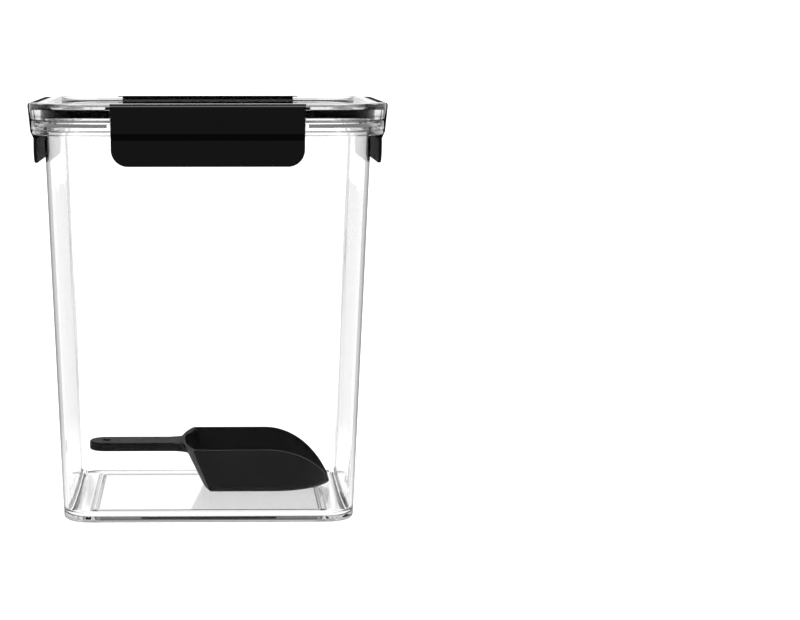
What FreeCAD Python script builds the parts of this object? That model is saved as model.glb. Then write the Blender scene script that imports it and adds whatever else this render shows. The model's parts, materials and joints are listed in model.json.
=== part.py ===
import FreeCAD, Part
import math
import os

V = FreeCAD.Vector

# All sizes are in millimetres; X is the width, Y the depth with the front at -Y, Z is up from the table
# Container body
rim_width = 202.0
rim_depth = 169.0
rim_drop = 8.5
rim_overhang = 7.0
skirt_thickness = 1.8
web_thickness = 1.6
groove_bevel = 2.0
body_height = 235.1
rim_edge = 0.6
rim_step_drop = 5.8
rim_step = 0.4
lip_height = 2.2
wall_thickness = 2.2
wall_lean = 9.2
base_corner_r = 16.0
base_edge_r = 2.5
floor_thickness = 3.0
floor_edge_r = 5.0
panel_inset = 15.2
panel_corner_r = 4.0
foot_width = 18.0
foot_bevel = 2.0
floor_rise = 1.2

# Lid
lid_overhang = 1.2
lid_gap = 0.3
lid_height = 9.3
lid_draft = 1.1
lid_belly_height = 5.6
lid_edge = 0.7
recess_inset = 10.2
recess_depth = 3.1
recess_slope = 3.0
plate_thickness = 2.4
plug_clearance = 0.6
plug_thickness = 1.8
plug_reach = 9.1

# Silicone gasket
gasket_height = 4.2
gasket_slot_width = 1.2
gasket_slot_depth = 3.0

# Locking clips
clip_width = 108.6
clip_side_gap = 0.3
clip_back_gap = 0.5
clip_top_drop = 0.2
clip_proud = 0.7
clip_hinge_depth = 2.7
clip_thickness = 2.2
clip_lean = 1.4
clip_upper_drop = 16.3
clip_step_in = 1.7
clip_step_drop = 3.8
clip_tab_drop = 14.7
clip_tab_thickness = 1.9
clip_corner_r = 9.6
clip_crown_r = 1.1
clip_edge_r = 0.7
catch_gap = 0.3
catch_hold = 1.6
catch_height = 1.4
clip_rib_thickness = 1.2
clip_rib_count = 5
rim_notch_depth = 2.6
channel_wall = 1.7
pin_r = 1.0
pin_length = 2.6
pin_clearance = 0.05
pin_end_gap = 0.4

# Scoop
scoop_tip_gap = 7.1
scoop_handle_gap = 9.1
scoop_bowl_length = 84.8
scoop_width = 74.0
scoop_height = 28.8
scoop_wall = 1.6
scoop_bottom_width = 51.0
scoop_corner_r = 7.0
scoop_nose_length = 40.0
scoop_nose_r = 50.0
scoop_back_lean = 14.0
scoop_back_bulge = 7.5
scoop_heel_r = 4.0
scoop_tip_height = 2.1
handle_width = 21.0
handle_thickness = 5.2
handle_drop = 0.8
handle_edge = 0.6
neck_bite = 0.3
handle_flare_r = 9.0
handle_under_r = 5.0
hang_hole_r = 3.0
scoop_centre_y = 17.0

# How far a cut runs past the face that it opens
overrun = 1.0

# Sizes that follow from the ones above
rim_x = rim_width / 2
rim_y = rim_depth / 2
mouth_x = rim_x - rim_overhang
mouth_y = rim_y - rim_overhang
rim_corner_r = base_corner_r + wall_lean + rim_overhang
base_x = mouth_x - wall_lean
base_y = mouth_y - wall_lean
flange_z = body_height - lip_height
skirt_z = flange_z - rim_drop
floor_z = floor_thickness + floor_rise
scoop_tip_x = base_x - wall_thickness - scoop_tip_gap
scoop_end_x = scoop_handle_gap + wall_thickness - base_x

lid_x = rim_x + lid_overhang
lid_y = rim_y + lid_overhang
lid_corner_r = rim_corner_r + lid_overhang
lid_z = flange_z + lid_gap
lid_top_z = lid_z + lid_height
recess_z = lid_top_z - recess_depth
plate_z = recess_z - plate_thickness
plug_z = body_height - plug_reach
gasket_z = body_height + gasket_height

barrel_r = clip_thickness
clip_face_u = lid_overhang + clip_proud
hinge_u = clip_face_u - clip_hinge_depth
hinge_z = lid_top_z - clip_top_drop - barrel_r
pocket_u = hinge_u - barrel_r - clip_back_gap
channel_u = pocket_u - channel_wall

# How far each side lies round from the front, in degrees
side_turns = {"front": 0, "right": 90, "back": 180, "left": 270}


def rounded_wire(half_x, half_y, r, z):
    # Rectangle with round corners, always started at the same place so that lofts don't twist
    q = r / math.sqrt(2)
    cx, cy = half_x - r, half_y - r
    corners = ((cx, -cy, -90), (cx, cy, 0), (-cx, cy, 90), (-cx, -cy, 180))
    points = []
    for x, y, start in corners:
        for turn in (0, 45, 90):
            a = math.radians(start + turn)
            points.append(V(x + r * math.cos(a), y + r * math.sin(a), z))
    edges = []
    for i in range(0, len(points), 3):
        a, b, c = points[i:i + 3]
        edges.append(Part.Arc(a, b, c).toShape())
        edges.append(Part.LineSegment(c, points[(i + 3) % len(points)]).toShape())
    return Part.Wire(edges)


def prism(half_x, half_y, r, z0, z1):
    face = Part.Face(rounded_wire(half_x, half_y, r, z0))
    return face.extrude(V(0, 0, z1 - z0))


def tapered(low, high):
    # Solid between two round-cornered outlines, each (half x, half y, corner radius, height)
    return Part.makeLoft([rounded_wire(*low), rounded_wire(*high)], True, True)


def rounded_profile(corners):
    # Closed outline through (point, corner radius) pairs
    count = len(corners)
    ends = []
    for i, (p, r) in enumerate(corners):
        back = (corners[i - 1][0] - p).normalize()
        ahead = (corners[(i + 1) % count][0] - p).normalize()
        half = back.getAngle(ahead) / 2
        middle = (back + ahead).normalize()
        reach = r / math.tan(half)
        ends.append((p + back * reach, p + middle * (r / math.sin(half) - r), p + ahead * reach))
    edges = []
    for i, (start, middle, end) in enumerate(ends):
        if corners[i][1] > 0:
            edges.append(Part.Arc(start, middle, end).toShape())
        edges.append(Part.LineSegment(end, ends[(i + 1) % count][0]).toShape())
    return Part.Wire(edges)


def edges_at(shape, z):
    # Edges that lie flat at one height
    near = web_thickness / 100
    return [e for e in shape.Edges if abs(e.BoundBox.ZMin - z) < near and abs(e.BoundBox.ZMax - z) < near]


def on_side(shape, turn):
    # Carries a shape made at the origin, outwards along -Y, to the rim's face on one side
    out = rim_y if turn in (0, 180) else rim_x
    placed = shape.copy()
    placed.translate(V(0, -out, 0))
    placed.rotate(V(0, 0, 0), V(0, 0, 1), turn)
    return placed


def side_boxes(depth, width, z0, z1):
    # Boxes that cut the rim or the lid back by a depth behind the rim's face, one for each clip
    outward = lid_overhang + overrun
    box = Part.makeBox(width, depth + outward, z1 - z0, V(-width / 2, -outward, z0))
    return [on_side(box, turn) for turn in side_turns.values()]


def wall_outline(z, inset):
    # The leaning wall at one height, moved inwards by an inset; its corners are parts of upright cones
    out = wall_lean * z / body_height - inset
    return (base_x + out, base_y + out, base_corner_r + out, z)


def floor_panel(z, inset, start, end):
    # Bevelled panel that the floor is raised by, from start to end above a floor surface at z
    outlines = []
    for rise in (start, end):
        step = foot_bevel * rise / floor_rise
        x, y = wall_outline(0, inset + step)[:2]
        outlines.append((x, y, panel_corner_r - step, z + rise))
    return tapered(*outlines)


def container_walls():
    outer = tapered(wall_outline(0, 0), wall_outline(body_height, 0))
    outer = outer.makeFillet(base_edge_r, edges_at(outer, 0))
    return outer


def container_cavity():
    low = wall_outline(floor_thickness, wall_thickness)
    high = wall_outline(body_height + overrun, wall_thickness)
    cavity = tapered(low, high)
    return cavity.makeFillet(floor_edge_r, edges_at(cavity, floor_thickness))


def container_rim():
    # Turned-down rim with a pocket at each clip and an open groove behind the skirt
    step_z = flange_z - rim_step_drop
    block = prism(rim_x, rim_y, rim_corner_r, step_z, flange_z)
    block = block.makeChamfer(rim_edge, edges_at(block, flange_z))
    block = block.makeChamfer(rim_step, edges_at(block, step_z))
    lower = prism(rim_x - rim_step, rim_y - rim_step, rim_corner_r - rim_step, skirt_z, step_z)
    block = block.fuse(lower.makeChamfer(rim_edge, edges_at(lower, skirt_z)))
    pocket_width = clip_width + 2 * clip_side_gap
    for box in side_boxes(rim_notch_depth, pocket_width, skirt_z - overrun, flange_z + overrun):
        block = block.cut(box)
    groove = prism(rim_x - skirt_thickness, rim_y - skirt_thickness, rim_corner_r - skirt_thickness,
                   skirt_z - overrun, flange_z - web_thickness)
    groove = groove.makeChamfer(groove_bevel, edges_at(groove, flange_z - web_thickness))
    pad_width = pocket_width + 2 * skirt_thickness
    for box in side_boxes(rim_notch_depth + skirt_thickness, pad_width, skirt_z - 2 * overrun, flange_z):
        groove = groove.cut(box)
    return block.cut(groove)


def container_body():
    body = container_walls().fuse(container_rim()).cut(container_cavity())
    panel = floor_panel(floor_thickness, panel_inset, -floor_rise / 2, floor_rise)
    under = floor_panel(0, foot_width, -overrun, floor_rise)
    return body.fuse(panel).cut(under).removeSplitter()


def plug_outline(inset, z):
    # The plug's outline stays the same up its whole height
    return wall_outline(plug_z, wall_thickness + plug_clearance + inset)[:3] + (z,)


def lid_shell():
    # Lid block with a drafted lower edge, a bevelled top edge and a recess with sloping sides on top
    low = (lid_x - lid_draft, lid_y - lid_draft, lid_corner_r - lid_draft, lid_z)
    belly = (lid_x, lid_y, lid_corner_r, lid_z + lid_belly_height)
    lower = tapered(low, belly)
    upper = prism(*belly[:3], belly[3], lid_top_z)
    upper = upper.makeChamfer(lid_edge, edges_at(upper, lid_top_z))
    outlines = []
    for rise in (0, recess_depth + overrun):
        inset = recess_inset + recess_slope * (1 - rise / recess_depth)
        outlines.append((lid_x - inset, lid_y - inset, lid_corner_r - inset, recess_z + rise))
    return lower.fuse(upper).cut(tapered(*outlines))


def lid_plug():
    outer = Part.Face(rounded_wire(*plug_outline(0, plug_z)))
    inner = Part.Face(rounded_wire(*plug_outline(plug_thickness, plug_z)))
    return outer.cut(inner).extrude(V(0, 0, recess_z - plug_z))


def gasket_channel(z0, z1):
    # Ring between the plug and the outer wall of the lid
    outer = prism(rim_x + channel_u, rim_y + channel_u, rim_corner_r + channel_u, z0, z1)
    return outer.cut(prism(*plug_outline(0, z0)[:3], z0 - overrun, z1 + overrun))


def hinge_bores():
    depth = pin_length + pin_end_gap
    bore = Part.makeCylinder(pin_r + pin_clearance, clip_width + 2 * depth,
                             V(-clip_width / 2 - depth, -hinge_u, hinge_z), V(1, 0, 0))
    return [on_side(bore, turn) for turn in side_turns.values()]


def lid():
    body = lid_shell()
    body = body.cut(prism(*plug_outline(plug_thickness, lid_z)[:3], lid_z - overrun, plate_z))
    body = body.fuse(lid_plug()).cut(gasket_channel(lid_z - overrun, gasket_z))
    pocket_width = clip_width + 2 * clip_side_gap
    for box in side_boxes(-pocket_u, pocket_width, lid_z - overrun, lid_top_z + overrun):
        body = body.cut(box)
    for bore in hinge_bores():
        body = body.cut(bore)
    return body.removeSplitter()


def lid_gasket():
    # Ring that fills the channel, slit from below so that its outer lip can flex
    ring = gasket_channel(body_height, gasket_z)
    slot_u = channel_u - gasket_slot_width / 2
    slot = prism(rim_x + slot_u, rim_y + slot_u, rim_corner_r + slot_u,
                 body_height - overrun, body_height + gasket_slot_depth)
    core_u = slot_u - gasket_slot_width
    core = prism(rim_x + core_u, rim_y + core_u, rim_corner_r + core_u,
                 body_height - 2 * overrun, body_height + gasket_slot_depth + overrun)
    return ring.cut(slot.cut(core))


def clip_profile():
    # Section of a clip: barrel side at the top, leaning face, catch under the rim, finger tab
    upper_u = clip_face_u - clip_lean
    tab_u = upper_u - clip_step_in
    back_u = tab_u - clip_tab_thickness
    top_z = hinge_z + barrel_r
    upper_z = top_z - clip_upper_drop
    step_z = upper_z - clip_step_drop
    tab_z = step_z - clip_tab_drop
    catch_u = -rim_notch_depth - catch_hold
    catch_z = skirt_z - catch_gap
    inner_u = upper_u - clip_thickness
    tab_edge_r = clip_tab_thickness / 2 - clip_edge_r / 4
    outline = ((clip_face_u, top_z, clip_crown_r), (clip_face_u, hinge_z, 0), (upper_u, upper_z, clip_edge_r),
               (tab_u, step_z, clip_edge_r), (tab_u, tab_z, tab_edge_r), (back_u, tab_z, tab_edge_r),
               (back_u, step_z - clip_edge_r, 0), (catch_u, catch_z - catch_height, 0),
               (catch_u, catch_z, 0), (inner_u, catch_z, 0), (hinge_u, hinge_z - barrel_r, 0),
               (hinge_u, top_z, 0))
    return Part.Face(rounded_profile([(V(0, -u, z), r) for u, z, r in outline]))


def clip_front_outline():
    top_z = hinge_z + barrel_r
    low_z = top_z - clip_upper_drop - clip_step_drop - clip_tab_drop
    half = clip_width / 2
    corners = ((-half, low_z, clip_corner_r), (half, low_z, clip_corner_r), (half, top_z + overrun, 0),
               (-half, top_z + overrun, 0))
    face = Part.Face(rounded_profile([(V(x, -clip_face_u - overrun, z), r) for x, z, r in corners]))
    return face.extrude(V(0, 2 * rim_overhang, 0))


def clip_ribs():
    # Stiffening ribs between the clip's face and the pocket in the rim
    rib_u = catch_gap - rim_notch_depth
    low_z = skirt_z
    high_z = hinge_z - barrel_r
    corners = [V(0, -rib_u, low_z), V(0, -hinge_u, low_z), V(0, -hinge_u, high_z),
               V(0, -rib_u, high_z - rim_notch_depth)]
    face = Part.Face(Part.makePolygon(corners + corners[:1]))
    pitch = clip_width / (clip_rib_count + 1)
    ribs = []
    for i in range(clip_rib_count):
        rib = face.extrude(V(clip_rib_thickness, 0, 0))
        rib.translate(V((i + 1) * pitch - clip_width / 2 - clip_rib_thickness / 2, 0, 0))
        ribs.append(rib)
    return ribs


def clip():
    body = clip_profile().extrude(V(clip_width, 0, 0))
    body.translate(V(-clip_width / 2, 0, 0))
    barrel = Part.makeCylinder(barrel_r, clip_width, V(-clip_width / 2, -hinge_u, hinge_z), V(1, 0, 0))
    body = body.fuse([barrel] + clip_ribs()).common(clip_front_outline())
    pin = Part.makeCylinder(pin_r, clip_width + 2 * pin_length,
                            V(-clip_width / 2 - pin_length, -hinge_u, hinge_z), V(1, 0, 0))
    return body.fuse(pin).removeSplitter()


def scoop_trough(inset, lift):
    # Straight part of the bowl: (bottom half width, top half width, bottom height, height) and its solid
    low = scoop_bottom_width / 2 - inset
    high = scoop_width / 2 - inset
    z = floor_z + inset
    tall = scoop_height - inset + lift
    r = scoop_corner_r - inset
    corners = ((-low, z, r), (low, z, r), (high, z + tall, 0), (-high, z + tall, 0))
    nose_x = nose_centre()[0]
    section = Part.Face(rounded_profile([(V(nose_x, y, h), cr) for y, h, cr in corners]))
    rear = scoop_tip_x - nose_x - scoop_bowl_length - 2 * scoop_back_bulge
    return (low, high, z, tall), section.extrude(V(rear, 0, 0))


def nose_centre():
    # Where the nose starts, and how far its two curved sides have their centres past the middle
    centre_y = scoop_nose_r - scoop_width / 2
    low_r = centre_y + scoop_bottom_width / 2
    return scoop_tip_x - math.sqrt(low_r ** 2 - centre_y ** 2), centre_y


def round_bottomed_cone(low_r, high_r, z, tall, edge_r, x, y):
    cone = Part.makeCone(low_r, high_r, tall, V(x, y, z))
    return cone.makeFillet(edge_r, edges_at(cone, z))


def scoop_nose(sizes, inset):
    # Two leaning round sides that meet in a point
    low, high, z, tall = sizes
    nose_x, centre_y = nose_centre()
    sides = [round_bottomed_cone(centre_y + low, centre_y + high, z, tall, scoop_corner_r - inset,
                                 nose_x, y) for y in (-centre_y, centre_y)]
    reach = Part.makeBox(scoop_nose_length, scoop_width, tall, V(nose_x, -scoop_width / 2, z))
    return sides[0].common(sides[1]).common(reach)


def back_circle():
    # Centre and radius of the bulged back rim in plan
    half = scoop_width / 2
    r = (half ** 2 + scoop_back_bulge ** 2) / (2 * scoop_back_bulge)
    return scoop_tip_x - scoop_bowl_length - scoop_back_bulge + r, r


def scoop_form(inset, lift):
    # Solid bowl, reduced all round by an inset and raised at the top by a lift
    sizes, trough = scoop_trough(inset, lift)
    z, tall = sizes[2:]
    centre_x, r = back_circle()
    top_r = r - inset
    low_r = top_r - tall * scoop_back_lean / scoop_height
    back = round_bottomed_cone(low_r, top_r, z, tall, scoop_heel_r - inset, centre_x, 0)
    return trough.fuse(scoop_nose(sizes, inset)).common(back)


def above_rim():
    # Everything above the rim where it falls in an arc to the tip
    top = floor_z + scoop_height
    low = floor_z + scoop_tip_height
    fall = top - low
    start = scoop_tip_x - scoop_nose_length
    r = (scoop_nose_length ** 2 + fall ** 2) / (2 * fall)
    turn = math.asin(scoop_nose_length / r) / 2
    middle = V(start + r * math.sin(turn), -scoop_width, top - r + r * math.cos(turn))
    a, b = V(start, -scoop_width, top), V(scoop_tip_x, -scoop_width, low)
    far = scoop_tip_x + scoop_nose_length
    line = Part.makePolygon([b, V(far, -scoop_width, low), V(far, -scoop_width, top + scoop_height),
                             V(start, -scoop_width, top + scoop_height), a])
    outline = Part.Wire([Part.Arc(a, middle, b).toShape()] + line.Edges)
    return Part.Face(outline).extrude(V(0, 2 * scoop_width, 0))


def scoop_neck():
    # Flare that widens the handle into the back wall, slanted like it
    top = floor_z + scoop_height - handle_drop
    side = handle_width / 2
    root_x = scoop_tip_x - scoop_bowl_length
    slope = scoop_back_lean / scoop_height
    centre_x, rim_r = back_circle()
    r = rim_r - slope * handle_drop
    flare_y = side + handle_flare_r
    reach = r + handle_flare_r
    flare_x = centre_x - math.sqrt(reach ** 2 - flare_y ** 2) + neck_bite
    touch = V(centre_x + (flare_x - centre_x) * r / reach, flare_y * r / reach, top)
    turn = math.atan2(touch.y - flare_y, touch.x - flare_x) / 2 - math.pi / 4
    middle = V(flare_x + handle_flare_r * math.cos(turn), flare_y + handle_flare_r * math.sin(turn), top)
    start = V(flare_x, side, top)
    down = [V(p.x, -p.y, p.z) for p in (start, middle, touch)]
    line = Part.makePolygon([touch, V(root_x, touch.y, top), V(root_x, -touch.y, top), down[2]])
    edges = [Part.Arc(start, middle, touch).toShape()] + line.Edges
    edges += [Part.Arc(down[2], down[1], down[0]).toShape(), Part.LineSegment(down[0], start).toShape()]
    return Part.Face(Part.Wire(edges)).extrude(V(handle_thickness * slope, 0, -handle_thickness))


def scoop_handle():
    # Round-ended handle just below the rim, curved down into the back wall
    side = handle_width / 2
    top = floor_z + scoop_height - handle_drop
    under = top - handle_thickness
    slope = scoop_back_lean / scoop_height
    centre_x, r = back_circle()
    wall_x = centre_x - math.sqrt(r ** 2 - side ** 2) + slope * handle_drop + neck_bite
    inside_x = wall_x + 2 * scoop_back_bulge
    low = under - 2 * handle_under_r
    profile = ((scoop_end_x, top, 0), (scoop_end_x, under, 0),
               (wall_x + handle_thickness * slope, under, handle_under_r),
               (wall_x + (top - low) * slope, low, 0), (inside_x, low, 0), (inside_x, top, 0))
    face = Part.Face(rounded_profile([(V(x, -side, z), r) for x, z, r in profile]))
    bar = face.extrude(V(0, handle_width, 0))
    far_x = inside_x + scoop_back_bulge
    end_r = side - handle_edge
    plan = ((scoop_end_x, -side, end_r), (far_x, -side, 0), (far_x, side, 0), (scoop_end_x, side, end_r))
    outline = Part.Face(rounded_profile([(V(x, y, low - overrun), r) for x, y, r in plan]))
    bar = bar.common(outline.extrude(V(0, 0, top - low + 2 * overrun))).removeSplitter()
    rims = [e for e in edges_at(bar, top) + edges_at(bar, under) if e.BoundBox.XMin < wall_x - side]
    return bar.makeChamfer(handle_edge, rims)


def scoop():
    outer = scoop_form(0, 0).cut(above_rim()).fuse([scoop_handle(), scoop_neck()]).removeSplitter()
    hole_x = scoop_end_x + handle_width / 2
    hole = Part.makeCylinder(hang_hole_r, scoop_height, V(hole_x, 0, floor_z + overrun))
    body = outer.cut(scoop_form(scoop_wall, overrun)).cut(hole).removeSplitter()
    body.translate(V(0, scoop_centre_y, 0))
    return body


def main():
    os.makedirs("parts", exist_ok=True)
    pieces = {
        "container_body": container_body(),
        "lid": lid(),
        "lid_gasket": lid_gasket(),
        "scoop": scoop(),
    }
    closed_clip = clip()
    for side, turn in side_turns.items():
        pieces[side + "_clip"] = on_side(closed_clip, turn)
    for name, shape in pieces.items():
        shape.Solids[0].exportStep("parts/" + name + ".step")
        box = shape.BoundBox
        print(name, shape.ShapeType, len(shape.Solids), shape.isValid(), round(shape.Volume),
              [round(v, 2) for v in (box.XMin, box.XMax, box.YMin, box.YMax, box.ZMin, box.ZMax)])


main()
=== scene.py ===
import json
import math

import bmesh
import bpy
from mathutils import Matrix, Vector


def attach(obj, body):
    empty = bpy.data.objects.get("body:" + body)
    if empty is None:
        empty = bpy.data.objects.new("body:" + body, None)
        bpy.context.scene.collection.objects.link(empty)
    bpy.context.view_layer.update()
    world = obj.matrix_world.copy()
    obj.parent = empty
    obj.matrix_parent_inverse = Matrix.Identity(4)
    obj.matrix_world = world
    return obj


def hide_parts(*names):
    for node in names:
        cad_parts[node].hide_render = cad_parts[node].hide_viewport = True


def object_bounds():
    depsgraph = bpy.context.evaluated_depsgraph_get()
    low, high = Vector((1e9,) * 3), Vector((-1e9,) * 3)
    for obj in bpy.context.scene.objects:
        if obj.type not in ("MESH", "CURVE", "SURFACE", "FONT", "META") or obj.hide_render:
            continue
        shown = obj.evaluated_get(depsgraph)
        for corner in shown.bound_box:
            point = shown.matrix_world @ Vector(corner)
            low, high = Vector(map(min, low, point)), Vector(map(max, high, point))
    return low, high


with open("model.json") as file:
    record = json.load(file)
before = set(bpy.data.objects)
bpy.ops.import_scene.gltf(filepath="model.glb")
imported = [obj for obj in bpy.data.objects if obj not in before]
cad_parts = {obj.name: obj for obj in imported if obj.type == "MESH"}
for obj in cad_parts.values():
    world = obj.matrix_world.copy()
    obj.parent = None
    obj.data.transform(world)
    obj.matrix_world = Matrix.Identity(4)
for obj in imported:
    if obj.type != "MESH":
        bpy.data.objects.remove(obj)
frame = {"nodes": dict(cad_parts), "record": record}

cad_low, cad_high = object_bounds()

nodes = frame["nodes"]
clip_names = ["front_clip", "right_clip", "back_clip", "left_clip"]
half = 0.5

# Lengths are in metres, and tones go from 0 for black to 1 for white

# Camera: a small turn and the lens shift put the container left of the picture's middle
picture_width = 800
container_px = 208
lens_mm = 90.0
sensor_mm = 36.0
lens_shift = 0.2
camera_back = 1.2018
camera_height = 0.2798
camera_pitch = math.radians(7.786)

# Upright axes of the container's four round corners, and how softly their painted grey shade sets in
corner_x = 0.0688
corner_y = 0.0523
corner_shade_softness = 0.004

# Finer mesh of the copies: what is welded, what counts as flat, how far a facet may turn round
# a corner, and how often wider ones are halved
weld_distance = 2e-6
flat_angle = math.radians(0.2)
widest_facet = math.radians(4.5)
corner_rounds = 3
no_rounds = 0
fine_smooth_angle = math.radians(20)
plain_smooth_angle = math.radians(30)

# Moulded radius on the sharp level edges of the container and the lid
edge_radius = 0.00025
edge_segments = 2
edge_angle = math.radians(25)
edge_slot = 1

# Small gaps that keep touching faces from flickering
gasket_shrink = 0.00002
scoop_gap = 0.00005
floor_gap = 0.0002

# Clear plastic; the corner tones are painted shade, set against how far a face is seen edge on
clear_ior = 1.49
clear_front_gloss = 0.04
clear_soak_tone = (0.55, 0.57, 0.58, 1.0)
clear_density = 8.0
# Base tones: white on the faces, and a darker one on the moulded edges that is painted shade
face_clearness = 1.0
edge_shade_clearness = 0.35
corner_shade_tones = ((0.2, 1.0), (0.55, 0.95), (0.66, 0.6), (0.76, 0.12), (0.9, 0.02))

# Black finishes, and the fine grain that they share
silicone_look = {"tone": 0.002, "gloss": 0.05, "roughness": 0.4, "spread": 0.1}
satin_look = {"tone": 0.0035, "gloss": 0.08, "roughness": 0.2, "spread": 0.05}
scoop_look = {"tone": 0.0065, "gloss": 0.2, "roughness": 0.15, "spread": 0.05}
grain_scale = 900.0
grain_detail = 3.0
grain_strength = 0.1
grain_depth = 0.00002

# Painted shade on each clip's step and a painted highlight on its crown line: low end, high end and tone
clip_shade_and_highlight_bands = ((0.2222, 0.226, 0.0), (0.2411, 0.2417, 0.1))
band_blur = 0.0003

# White surround; what is mirrored in the container sees it in these dimmer tones
world_strength = 1.4
mirrored_sky_tones = ((0.0, 0.8), (0.3, 0.6), (0.6, 0.15))
floor_size = 6.0
floor_tone = 0.3
floor_glow = 1.1
mirrored_floor_tones = ((0.1, 0.9), (0.3, 0.6), (1.0, 0.6))
white = (1.0, 1.0, 1.0, 1.0)

# Bounces of light inside a clear wall
all_bounces = 32
clear_bounces = 24


def grey(tone):
    return (tone, tone, tone, 1.0)


def new_material(name):
    made = bpy.data.materials.new(name)
    made.use_nodes = True
    made.node_tree.nodes.clear()
    return made, made.node_tree.nodes, made.node_tree.links


def new_group(name, takes, gives):
    # Node group with named number inputs and outputs, and the two nodes at its ends
    group = bpy.data.node_groups.new(name, "ShaderNodeTree")
    for label in takes:
        group.interface.new_socket(label, in_out="INPUT", socket_type="NodeSocketFloat")
    for label in gives:
        group.interface.new_socket(label, in_out="OUTPUT", socket_type="NodeSocketFloat")
    start = group.nodes.new("NodeGroupInput")
    end = group.nodes.new("NodeGroupOutput")
    return group, start, end


def add_math(inside, operation):
    made = inside.new("ShaderNodeMath")
    made.operation = operation
    return made


def add_mix(inside, first):
    # Colour mix that starts from an even first colour
    made = inside.new("ShaderNodeMix")
    made.data_type = "RGBA"
    made.inputs["A"].default_value = first
    return made


def add_ramp(inside, tones):
    # Scale of greys, each tone at its own place
    made = inside.new("ShaderNodeValToRGB")
    stops = made.color_ramp.elements
    while len(stops) < len(tones):
        stops.new(half)
    for stop, (place, tone) in zip(stops, tones):
        stop.position = place
        stop.color = grey(tone)
    return made


def read_place(inside, links):
    # Where a point lies on its piece as the piece stands at rest
    place = inside.new("ShaderNodeTexCoord")
    split = inside.new("ShaderNodeSeparateXYZ")
    links.new(place.outputs["Object"], split.inputs["Vector"])
    return split.outputs


def add_surface_grain():
    # Fine waviness of moulded plastic: a roughness that varies round its own value, and a height
    group, start, end = new_group("surface_grain", ("Scale", "Roughness", "Spread"), ("Roughness", "Height"))
    inside = group.nodes
    links = group.links
    place = inside.new("ShaderNodeTexCoord")
    noise = inside.new("ShaderNodeTexNoise")
    noise.inputs["Detail"].default_value = grain_detail
    links.new(place.outputs["Object"], noise.inputs["Vector"])
    links.new(start.outputs["Scale"], noise.inputs["Scale"])
    centred = add_math(inside, "SUBTRACT")
    centred.inputs[1].default_value = half
    links.new(noise.outputs["Fac"], centred.inputs[0])
    spread = add_math(inside, "MULTIPLY_ADD")
    links.new(centred.outputs[0], spread.inputs[0])
    links.new(start.outputs["Spread"], spread.inputs[1])
    links.new(start.outputs["Roughness"], spread.inputs[2])
    links.new(spread.outputs[0], end.inputs["Roughness"])
    links.new(noise.outputs["Fac"], end.inputs["Height"])
    return group


def add_corner_shade_mask():
    # Mask of the painted corner shade: one at the container's four round corners, nothing on its flat walls
    group, start, end = new_group("corner_shade_mask", ("Corner X", "Corner Y", "Softness"), ("Mask",))
    inside = group.nodes
    links = group.links
    place = read_place(inside, links)
    both = add_math(inside, "MULTIPLY")
    for i, axis in enumerate(("X", "Y")):
        size = add_math(inside, "ABSOLUTE")
        links.new(place[axis], size.inputs[0])
        past = add_math(inside, "SUBTRACT")
        links.new(size.outputs[0], past.inputs[0])
        links.new(start.outputs["Corner " + axis], past.inputs[1])
        share = add_math(inside, "DIVIDE")
        share.use_clamp = True
        links.new(past.outputs[0], share.inputs[0])
        links.new(start.outputs["Softness"], share.inputs[1])
        links.new(share.outputs[0], both.inputs[i])
    links.new(both.outputs[0], end.inputs["Mask"])
    return group


def add_height_band():
    # One between two heights of a piece, nothing below and above them
    group, start, end = new_group("height_band", ("Low", "High", "Blur"), ("Mask",))
    inside = group.nodes
    links = group.links
    place = read_place(inside, links)
    both = add_math(inside, "MULTIPLY")
    for i, (limit, slope) in enumerate((("Low", 1.0), ("High", -1.0))):
        past = add_math(inside, "SUBTRACT")
        links.new(place["Z"], past.inputs[0])
        links.new(start.outputs[limit], past.inputs[1])
        share = add_math(inside, "DIVIDE")
        links.new(past.outputs[0], share.inputs[0])
        links.new(start.outputs["Blur"], share.inputs[1])
        fade = add_math(inside, "MULTIPLY_ADD")
        fade.use_clamp = True
        fade.inputs[1].default_value = slope
        fade.inputs[2].default_value = half
        links.new(share.outputs[0], fade.inputs[0])
        links.new(fade.outputs[0], both.inputs[i])
    links.new(both.outputs[0], end.inputs["Mask"])
    return group


def clear_plastic(name, clearness):
    # Clear moulded plastic: painted grey shade where its round corners are seen edge on,
    # and greyer where light runs far through it. A base tone below one is painted shade too.
    made, inside, links = new_material(name)
    end = inside.new("ShaderNodeOutputMaterial")
    body = inside.new("ShaderNodeBsdfPrincipled")
    body.inputs["Transmission Weight"].default_value = 1.0
    body.inputs["IOR"].default_value = clear_ior
    body.inputs["Roughness"].default_value = 0.0
    body.inputs["Specular Tint"].default_value = grey(clear_front_gloss)
    facing = inside.new("ShaderNodeLayerWeight")
    edge_on = add_ramp(inside, corner_shade_tones)
    links.new(facing.outputs["Facing"], edge_on.inputs["Fac"])
    mask = inside.new("ShaderNodeGroup")
    mask.node_tree = corner_shade_mask
    mask.inputs["Corner X"].default_value = corner_x
    mask.inputs["Corner Y"].default_value = corner_y
    mask.inputs["Softness"].default_value = corner_shade_softness
    tone = add_mix(inside, grey(clearness))
    links.new(mask.outputs["Mask"], tone.inputs["Factor"])
    links.new(edge_on.outputs["Color"], tone.inputs["B"])
    links.new(tone.outputs["Result"], body.inputs["Base Color"])
    see_through = inside.new("ShaderNodeBsdfTransparent")
    path = inside.new("ShaderNodeLightPath")
    mix = inside.new("ShaderNodeMixShader")
    links.new(path.outputs["Is Shadow Ray"], mix.inputs["Fac"])
    links.new(body.outputs["BSDF"], mix.inputs[1])
    links.new(see_through.outputs["BSDF"], mix.inputs[2])
    links.new(mix.outputs["Shader"], end.inputs["Surface"])
    soak = inside.new("ShaderNodeVolumeAbsorption")
    soak.inputs["Color"].default_value = clear_soak_tone
    soak.inputs["Density"].default_value = clear_density
    links.new(soak.outputs["Volume"], end.inputs["Volume"])
    return made


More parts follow.
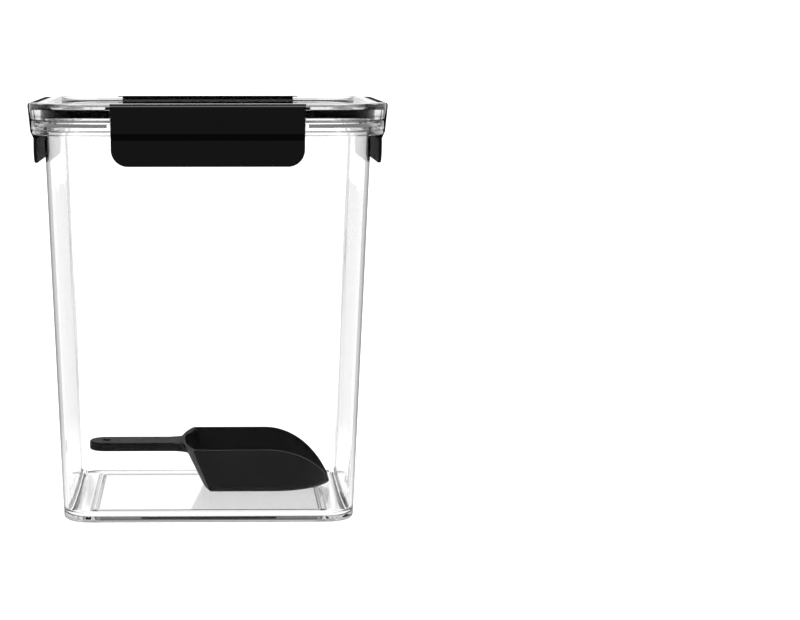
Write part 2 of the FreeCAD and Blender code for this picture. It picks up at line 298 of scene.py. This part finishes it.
def black_plastic(name, tone, gloss, roughness, spread):
    # Black moulded plastic or silicone: a dull base under a faint skin that carries its shine
    made, inside, links = new_material(name)
    end = inside.new("ShaderNodeOutputMaterial")
    body = inside.new("ShaderNodeBsdfPrincipled")
    body.inputs["Base Color"].default_value = grey(tone)
    body.inputs["Specular IOR Level"].default_value = 0.0
    body.inputs["Coat Weight"].default_value = gloss
    body.inputs["Coat Roughness"].default_value = roughness
    finish = inside.new("ShaderNodeGroup")
    finish.node_tree = surface_grain
    finish.inputs["Scale"].default_value = grain_scale
    finish.inputs["Roughness"].default_value = roughness
    finish.inputs["Spread"].default_value = spread
    bump = inside.new("ShaderNodeBump")
    bump.inputs["Strength"].default_value = grain_strength
    bump.inputs["Distance"].default_value = grain_depth
    links.new(finish.outputs["Roughness"], body.inputs["Roughness"])
    links.new(finish.outputs["Height"], bump.inputs["Height"])
    links.new(bump.outputs["Normal"], body.inputs["Normal"])
    links.new(bump.outputs["Normal"], body.inputs["Coat Normal"])
    links.new(body.outputs["BSDF"], end.inputs["Surface"])
    return made


def add_painted_light_bands(made, tone, bands):
    # Gives a plastic of one tone other tones between some heights of its piece, as painted shade and painted
    # highlight bands
    inside = made.node_tree.nodes
    links = made.node_tree.links
    body = next(n for n in inside if n.bl_idname == "ShaderNodeBsdfPrincipled")
    before = None
    for low, high, band_tone in bands:
        band = inside.new("ShaderNodeGroup")
        band.node_tree = height_band
        band.inputs["Low"].default_value = low
        band.inputs["High"].default_value = high
        band.inputs["Blur"].default_value = band_blur
        mix = add_mix(inside, grey(tone))
        mix.inputs["B"].default_value = grey(band_tone)
        links.new(band.outputs["Mask"], mix.inputs["Factor"])
        if before is not None:
            links.new(before, mix.inputs["A"])
        before = mix.outputs["Result"]
    links.new(before, body.inputs["Base Color"])


def pick(piece):
    bpy.ops.object.select_all(action="DESELECT")
    piece.select_set(True)
    bpy.context.view_layer.objects.active = piece


def in_corner(place):
    return abs(place.x) > corner_x - weld_distance and abs(place.y) > corner_y - weld_distance


def corner_polar(place):
    # The upright axis of the nearest round corner, and the radius and angle about it
    axis_x = math.copysign(corner_x, place.x)
    axis_y = math.copysign(corner_y, place.y)
    out_x = abs(place.x) - corner_x
    out_y = abs(place.y) - corner_y
    return (axis_x, axis_y), math.hypot(out_x, out_y), math.atan2(out_y, out_x)


def halve_corner_facets(shape):
    # Splits each edge that turns far round a corner, with its new point on the round surface itself.
    # Flat faces are made whole first, so that none of their inner edges is bent round the corner.
    bmesh.ops.dissolve_limit(shape, angle_limit=flat_angle, verts=shape.verts, edges=shape.edges)
    for edge in list(shape.edges):
        first = edge.verts[0].co
        second = edge.verts[1].co
        if not (in_corner(first) and in_corner(second)):
            continue
        axis, first_radius, first_angle = corner_polar(first)
        other_axis, second_radius, second_angle = corner_polar(second)
        if axis != other_axis or abs(second_angle - first_angle) < widest_facet:
            continue
        radius = (first_radius + second_radius) / 2
        angle = (first_angle + second_angle) / 2
        height = (first.z + second.z) / 2
        x = axis[0] + math.copysign(radius * math.cos(angle), axis[0])
        y = axis[1] + math.copysign(radius * math.sin(angle), axis[1])
        middle = bmesh.utils.edge_split(edge, edge.verts[0], half)[1]
        middle.co = (x, y, height)
    bmesh.ops.triangulate(shape, faces=shape.faces[:])


def moulded_copy(node, name, material, smooth_angle, rounds):
    # Welded copy of a construction piece that is shown in its place, with finer round corners
    made = bpy.data.objects.new(name, nodes[node].data.copy())
    bpy.context.scene.collection.objects.link(made)
    pick(made)
    bpy.ops.object.mode_set(mode="EDIT")
    bpy.ops.mesh.select_all(action="SELECT")
    bpy.ops.mesh.remove_doubles(threshold=weld_distance)
    bpy.ops.object.mode_set(mode="OBJECT")
    if made.data.has_custom_normals:
        bpy.ops.mesh.customdata_custom_splitnormals_clear()
    shape = bmesh.new()
    shape.from_mesh(made.data)
    for i in range(rounds):
        halve_corner_facets(shape)
    shape.to_mesh(made.data)
    shape.free()
    bpy.ops.object.shade_smooth_by_angle(angle=smooth_angle)
    made.data.materials.clear()
    made.data.materials.append(material)
    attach(made, bodies_by_node[node])
    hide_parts(node)
    return made


def round_off(piece, edge_shade_plastic):
    # Gives the sharp level edges a small moulded radius in a darker tone of its own, which is painted shade.
    # The faces beside them stay flat.
    piece.data.materials.append(edge_shade_plastic)
    shape = bmesh.new()
    shape.from_mesh(piece.data)
    bmesh.ops.dissolve_limit(shape, angle_limit=flat_angle, verts=shape.verts, edges=shape.edges)
    weight = shape.edges.layers.float.new("bevel_weight_edge")
    for edge in shape.edges:
        level = abs(edge.verts[0].co.z - edge.verts[1].co.z) < weld_distance
        if level and edge.calc_face_angle() > edge_angle:
            edge[weight] = 1.0
    shape.to_mesh(piece.data)
    shape.free()
    soft = piece.modifiers.new("soft_edges", "BEVEL")
    soft.width = edge_radius
    soft.segments = edge_segments
    soft.limit_method = "WEIGHT"
    soft.harden_normals = True
    soft.use_clamp_overlap = False
    soft.material = edge_slot
    bpy.ops.object.modifier_apply(modifier="soft_edges")


def shrink_gasket(ring):
    # Draws the ring a little smaller, so that its faces don't flicker against the lid's.
    # Its lowest edges keep their place.
    shape = bmesh.new()
    shape.from_mesh(ring.data)
    shape.normal_update()
    low = min(v.co.z for v in shape.verts)
    moves = [(v, v.normal * gasket_shrink) for v in shape.verts if v.co.z > low + weld_distance]
    for v, move in moves:
        v.co -= move
    shape.to_mesh(ring.data)
    shape.free()


def ease_off_floor(piece):
    # A hair of air under the scoop, so that the clear floor doesn't look wet where it stands
    low = min(v.co.z for v in piece.data.vertices)
    for v in piece.data.vertices:
        if v.co.z < low + scoop_gap:
            v.co.z = low + scoop_gap


def dim_when_mirrored(inside, links, where, tones):
    # White for light that came straight or only passed through, the given tones for mirrored light
    ramp = add_ramp(inside, tones)
    links.new(where, ramp.inputs["Fac"])
    path = inside.new("ShaderNodeLightPath")
    mirrored = add_math(inside, "GREATER_THAN")
    mirrored.inputs[1].default_value = half
    links.new(path.outputs["Glossy Depth"], mirrored.inputs[0])
    seen = add_mix(inside, white)
    links.new(mirrored.outputs[0], seen.inputs["Factor"])
    links.new(ramp.outputs["Color"], seen.inputs["B"])
    return seen.outputs["Result"]


def add_floor():
    bpy.ops.object.select_all(action="DESELECT")
    bpy.ops.mesh.primitive_plane_add(size=floor_size, location=(0, 0, cad_low.z - floor_gap))
    floor = bpy.context.object
    floor.name = "floor"
    made, inside, links = new_material("pale_floor")
    end = inside.new("ShaderNodeOutputMaterial")
    place = inside.new("ShaderNodeTexCoord")
    away = inside.new("ShaderNodeVectorMath")
    away.operation = "LENGTH"
    links.new(place.outputs["Object"], away.inputs[0])
    tones = dim_when_mirrored(inside, links, away.outputs["Value"], mirrored_floor_tones)
    shade = add_mix(inside, grey(floor_tone))
    shade.blend_type = "MULTIPLY"
    shade.inputs["Factor"].default_value = 1.0
    links.new(tones, shade.inputs["B"])
    body = inside.new("ShaderNodeBsdfPrincipled")
    body.inputs["Roughness"].default_value = 1.0
    body.inputs["Specular IOR Level"].default_value = 0.0
    body.inputs["Emission Strength"].default_value = floor_glow
    links.new(shade.outputs["Result"], body.inputs["Base Color"])
    links.new(tones, body.inputs["Emission Color"])
    links.new(body.outputs["BSDF"], end.inputs["Surface"])
    made.cycles.emission_sampling = "NONE"
    floor.data.materials.append(made)


def add_world():
    world = bpy.data.worlds.new("white_studio")
    world.use_nodes = True
    world.cycles.sampling_method = "NONE"
    bpy.context.scene.world = world
    inside = world.node_tree.nodes
    links = world.node_tree.links
    inside.clear()
    end = inside.new("ShaderNodeOutputWorld")
    light = inside.new("ShaderNodeBackground")
    light.inputs["Strength"].default_value = world_strength
    way = inside.new("ShaderNodeTexCoord")
    split = inside.new("ShaderNodeSeparateXYZ")
    links.new(way.outputs["Generated"], split.inputs["Vector"])
    tones = dim_when_mirrored(inside, links, split.outputs["Z"], mirrored_sky_tones)
    links.new(tones, light.inputs["Color"])
    links.new(light.outputs["Background"], end.inputs["Surface"])
    bpy.context.scene.view_settings.view_transform = "Standard"


def add_camera():
    data = bpy.data.cameras.new("camera")
    data.lens = lens_mm
    data.sensor_width = sensor_mm
    data.shift_x = lens_shift
    camera = bpy.data.objects.new("camera", data)
    bpy.context.scene.collection.objects.link(camera)
    camera.location = (0, -camera_back, camera_height)
    focal_px = picture_width * lens_mm / sensor_mm
    beside = picture_width / 2 - lens_shift * picture_width - container_px
    turn = math.atan(beside / focal_px)
    camera.rotation_euler = (math.pi / 2 - camera_pitch, 0, -turn)
    bpy.context.scene.camera = camera


def let_light_run():
    # Enough bounces for light that is mirrored along inside a clear wall
    cycles = bpy.context.scene.cycles
    cycles.max_bounces = all_bounces
    cycles.glossy_bounces = clear_bounces
    cycles.transmission_bounces = clear_bounces


bodies_by_node = {}
for body_name, held in frame["record"]["behaviour"]["bodies"].items():
    for node_name in held:
        bodies_by_node[node_name] = body_name

surface_grain = add_surface_grain()
height_band = add_height_band()
corner_shade_mask = add_corner_shade_mask()

wall_plastic = clear_plastic("clear_body_plastic", face_clearness)
lid_plastic = clear_plastic("clear_lid_plastic", face_clearness)
# Darker clear plastic for the moulded edges: painted shade
edge_shade_plastic = clear_plastic("clear_edge_shade_plastic", edge_shade_clearness)
silicone = black_plastic("black_silicone", **silicone_look)
satin = black_plastic("satin_black_plastic", **satin_look)
# The clips' satin gets a painted shade band on the step and a painted highlight line on the crown
add_painted_light_bands(satin, satin_look["tone"], clip_shade_and_highlight_bands)
scoop_finish = black_plastic("scoop_plastic", **scoop_look)

container = moulded_copy(
    "container_body", "clear_container", wall_plastic, fine_smooth_angle, corner_rounds
)
round_off(container, edge_shade_plastic)
lid = moulded_copy("lid", "clear_lid", lid_plastic, fine_smooth_angle, corner_rounds)
round_off(lid, edge_shade_plastic)
gasket = moulded_copy(
    "lid_gasket", "gasket_ring", silicone, fine_smooth_angle, corner_rounds
)
shrink_gasket(gasket)
for clip in clip_names:
    moulded_copy(clip, "moulded_" + clip, satin, plain_smooth_angle, no_rounds)
scoop = moulded_copy("scoop", "moulded_scoop", scoop_finish, plain_smooth_angle, no_rounds)
ease_off_floor(scoop)

add_floor()
add_world()
add_camera()
let_light_run()
